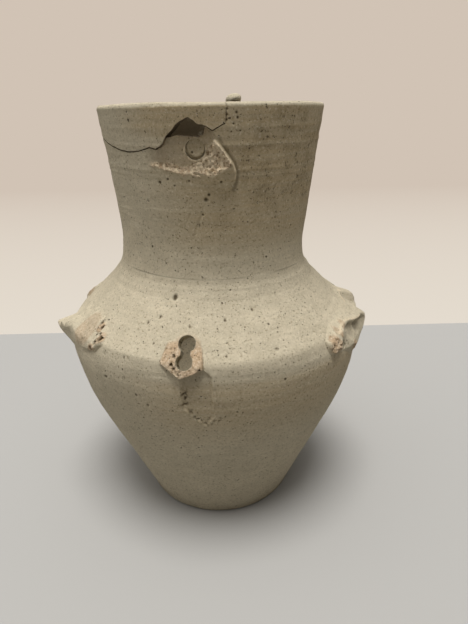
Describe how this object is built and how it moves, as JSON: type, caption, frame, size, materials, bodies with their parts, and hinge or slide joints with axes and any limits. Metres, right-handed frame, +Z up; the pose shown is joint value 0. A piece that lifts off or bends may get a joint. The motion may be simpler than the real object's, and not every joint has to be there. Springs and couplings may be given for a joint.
{
  "type": "jug",
  "caption": "Wide-mouthed unglazed clay jug with a flared neck, rounded shoulder and flat foot; its handles are broken off, leaving scars, peg holes and stub lugs.",
  "frame": {"origin": "centre of the flat underside that the jug stands on", "axes": "+Z up along the jug's axis, -Y towards the scar of the broken upright handle, +X to the right of someone facing that scar"},
  "size_m": [0.1847, 0.1746, 0.2455],
  "materials": {
    "fired_clay": "unglazed, matt, pale grey-buff fired clay with small dark pores",
    "broken_clay": "rough broken clay, pinkish buff",
    "tenon_clay": "unglazed, matt, greyer clay worn smooth"
  },
  "bodies": {
    "root": {"base_disc": "fired_clay", "lower_wall": "fired_clay", "shoulder": "fired_clay", "neck_luting_ring": "fired_clay", "neck": "fired_clay", "rim_sherd": "fired_clay", "tenon_peg": "tenon_clay", "upper_handle_root": "broken_clay", "lower_handle_root": "broken_clay", "lug_left_front": "fired_clay", "lug_left_rear": "fired_clay", "lug_right_front": "fired_clay", "lug_right_rear": "fired_clay", "rim_knob": "fired_clay"}
  },
  "joints": []
}
